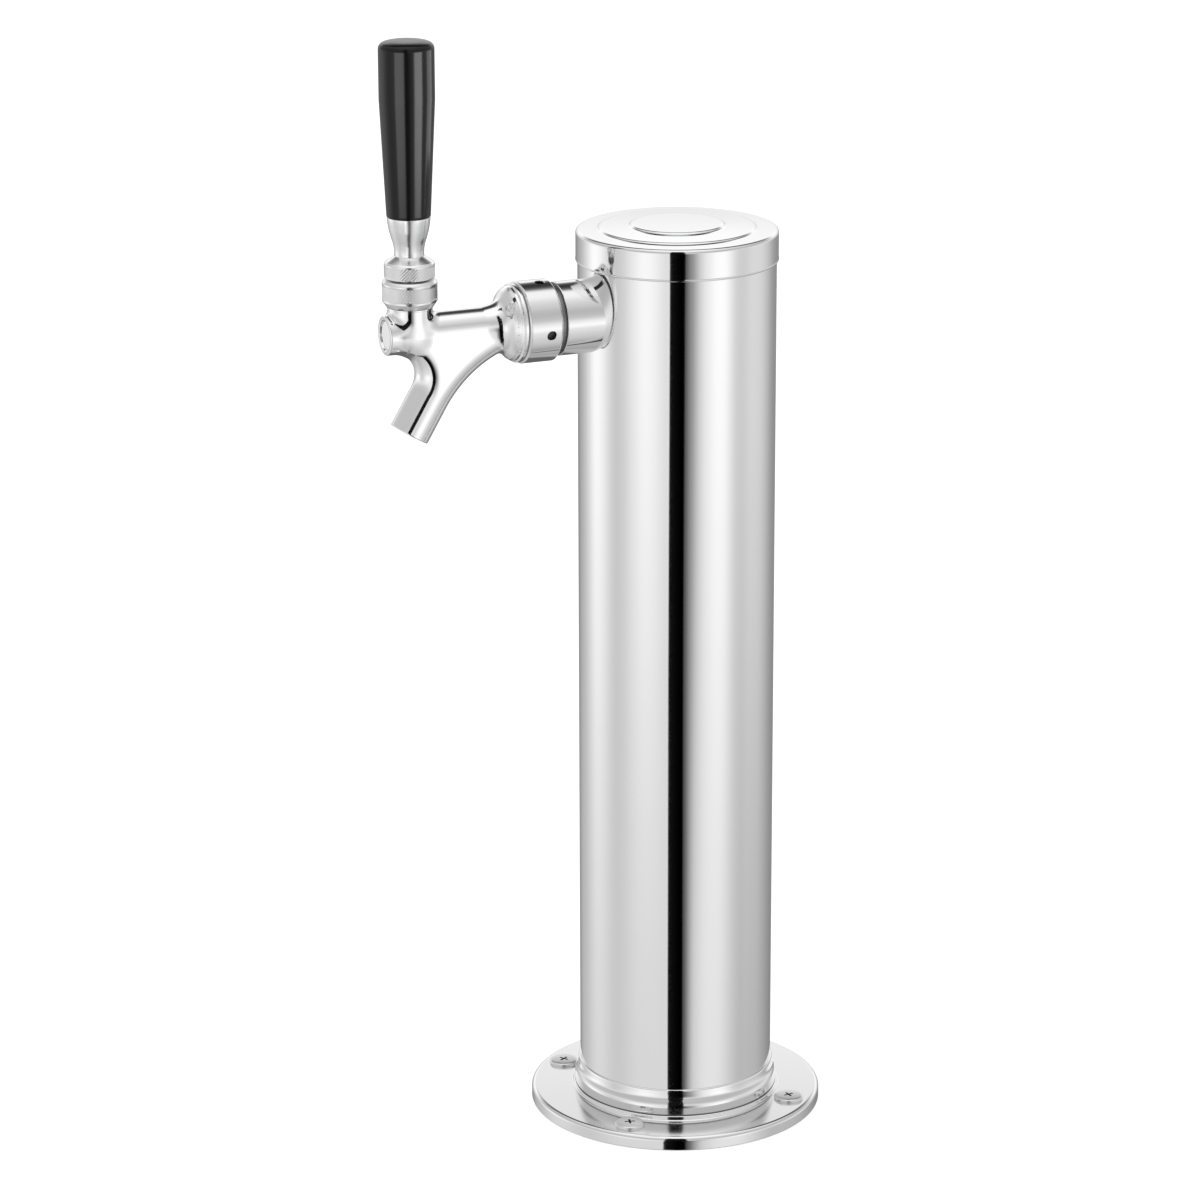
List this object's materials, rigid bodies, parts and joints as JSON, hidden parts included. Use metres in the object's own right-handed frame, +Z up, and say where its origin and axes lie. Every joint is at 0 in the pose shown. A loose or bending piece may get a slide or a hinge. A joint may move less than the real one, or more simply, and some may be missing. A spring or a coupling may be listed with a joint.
{
  "type": "beer tower dispenser",
  "caption": "Stainless single-column beer tower on a round screwed flange, with one knurled-collar tap, spout, black lever handle and pull-off stepped cap.",
  "frame": {"origin": "centre of the flange's resting face, on the column's axis", "axes": "+Z up along the column, -Y forward the way the tap points, +X to the side that the picture shows"},
  "size_m": [0.115, 0.1763, 0.435],
  "materials": {
    "polished_steel": "polished",
    "chrome": "polished",
    "brass": "satin",
    "black_plastic": "gloss",
    "white_plastic": "satin",
    "rubber": "matte"
  },
  "bodies": {
    "tower": {"column_tube": "polished_steel", "base_flange": "polished_steel", "flange_gasket": "rubber", "mounting_screws": "polished_steel", "shank_sleeve": "chrome", "saddle_washer": "black_plastic", "shank": "chrome", "shank_locknut": "brass", "tail_washer": "rubber", "tail_nut": "brass", "tail_elbow": "chrome", "coupling_nut": "chrome", "coupling_washer": "rubber", "faucet_body": "chrome", "ball_washer": "white_plastic", "friction_ring": "white_plastic", "bonnet": "chrome"},
    "cap": {"top_cap": "polished_steel"},
    "tap_lever": {"lever": "brass", "lever_collar": "chrome", "handle_ferrule": "chrome", "tap_handle": "black_plastic", "handle_insert": "brass"},
    "valve": {"valve_shaft": "brass", "seat_washer": "rubber", "shaft_seal": "rubber"}
  },
  "joints": [
    {"name": "cap_lift", "type": "slide", "parent": "tower", "child": "cap", "axis": [0, 0, 1], "range_m": [0, 0.03]},
    {"name": "lever_pull", "type": "hinge", "parent": "tower", "child": "tap_lever", "pos_m": [0, -0.1084, 0.3376], "axis": [1, 0, 0], "range_deg": [0, 25]},
    {"name": "valve_slide", "type": "slide", "parent": "tower", "child": "valve", "axis": [0, 1, 0], "range_m": [0, 0.0056]}
  ],
  "couplings": [
    {"joint": "valve_slide", "follows": "lever_pull", "m_per_rad": 0.0125}
  ]
}
